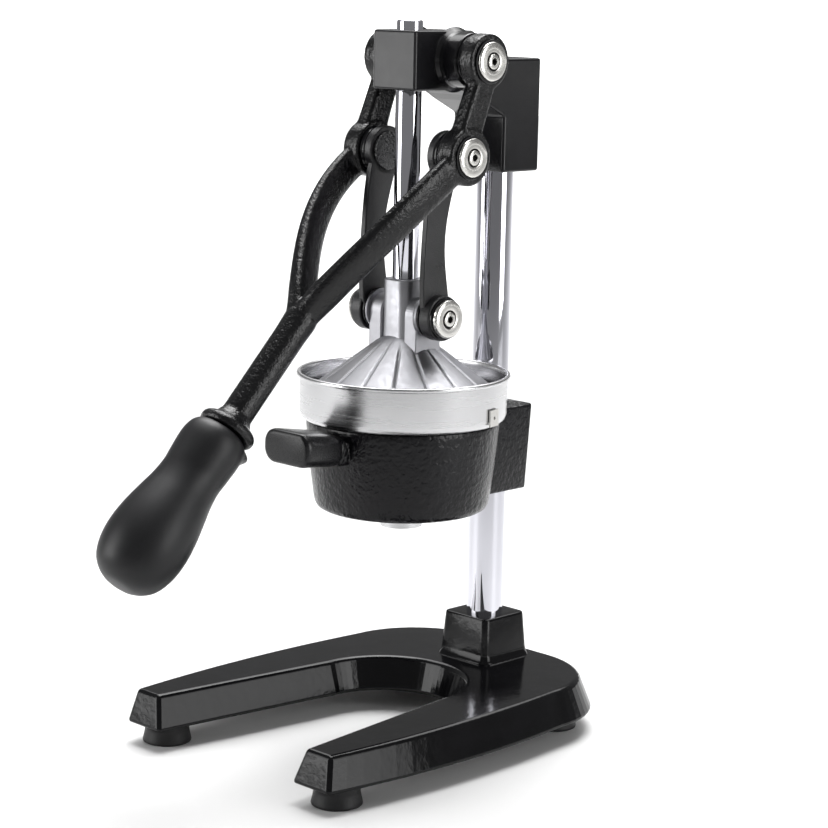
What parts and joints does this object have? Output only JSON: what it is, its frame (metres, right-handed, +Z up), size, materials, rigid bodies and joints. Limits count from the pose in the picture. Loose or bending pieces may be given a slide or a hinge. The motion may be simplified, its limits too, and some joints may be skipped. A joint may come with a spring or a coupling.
{
  "type": "citrus press juicer",
  "caption": "Manual lever citrus press: a forked lever drives a hood down onto a ridged strainer in a steel pan, over a forked cast base with room for a glass",
  "frame": {"origin": "centre of the bounding box in plan, on the table under the feet", "axes": "+X across the press, -Y the user's side where the lever comes down, +Z up; the press is symmetric about X = 0 apart from the pan's tab"},
  "size_m": [0.1926, 0.3248, 0.4178],
  "materials": {
    "cast_black": "gloss black enamel over a slightly pebbled casting",
    "rubber": "matt black rubber",
    "grip_black": "soft matt black",
    "bar_black": "satin black moulding",
    "chrome": "polished chrome",
    "cap_steel": "turned bright steel",
    "screw_steel": "plated steel",
    "dark_ring": "blackened steel",
    "hood_metal": "satin cast aluminium",
    "pan_steel": "brushed stainless",
    "bush_bronze": "sintered bronze"
  },
  "bodies": {
    "frame": {"base_casting": "cast_black", "rubber_feet": "rubber", "foot_screws": "screw_steel", "column_tube": "chrome", "column_bolt": "screw_steel", "head_casting": "cast_black", "head_set_screws": "screw_steel", "rod_bushes": "bush_bronze", "pivot_shaft": "screw_steel", "upper_rings": "dark_ring", "upper_washers": "dark_ring", "upper_caps": "cap_steel", "upper_screws": "screw_steel", "juice_pan": "pan_steel", "pan_spout": "pan_steel", "pan_tab": "cap_steel", "strainer_cone": "pan_steel", "bowl_holder": "cast_black", "holder_set_screws": "screw_steel", "holder_grip": "bar_black", "holder_grip_screw": "screw_steel"},
    "lever": {"lever_casting": "cast_black", "lever_grip": "grip_black", "grip_rod": "screw_steel", "middle_pins": "dark_ring", "middle_rings": "cap_steel", "middle_washers": "dark_ring", "middle_caps": "cap_steel", "middle_screws": "screw_steel"},
    "left_link": {"link_left": "cast_black", "lower_pin_left": "screw_steel", "lower_rings_left": "dark_ring", "lower_cap_left": "cap_steel", "lower_screw_left": "screw_steel"},
    "right_link": {"link_right": "cast_black", "lower_pin_right": "screw_steel", "lower_rings_right": "dark_ring", "lower_cap_right": "cap_steel", "lower_screw_right": "screw_steel"},
    "plunger": {"press_hood": "hood_metal", "press_rod": "chrome", "rod_screw": "screw_steel"}
  },
  "joints": [
    {"name": "lever_hinge", "type": "hinge", "parent": "frame", "child": "lever", "pos_m": [0, 0.0749, 0.3958], "axis": [-1, 0, 0], "range_deg": [0, 105]},
    {"name": "left_link_hinge", "type": "hinge", "parent": "lever", "child": "left_link", "pos_m": [0, 0.0605, 0.3425], "axis": [-1, 0, 0], "range_deg": [-126, 0]},
    {"name": "right_link_hinge", "type": "hinge", "parent": "lever", "child": "right_link", "pos_m": [0, 0.0605, 0.3425], "axis": [-1, 0, 0], "range_deg": [-126, 0]},
    {"name": "plunger_slide", "type": "slide", "parent": "frame", "child": "plunger", "axis": [0, 0, 1], "range_m": [0, 0.085]}
  ],
  "couplings": [
    {"joint": "left_link_hinge", "follows": "lever_hinge", "ratio": -1.1995},
    {"joint": "right_link_hinge", "follows": "lever_hinge", "ratio": -1.1995},
    {"joint": "plunger_slide", "follows": "lever_hinge", "m_per_rad": 0.046255}
  ]
}
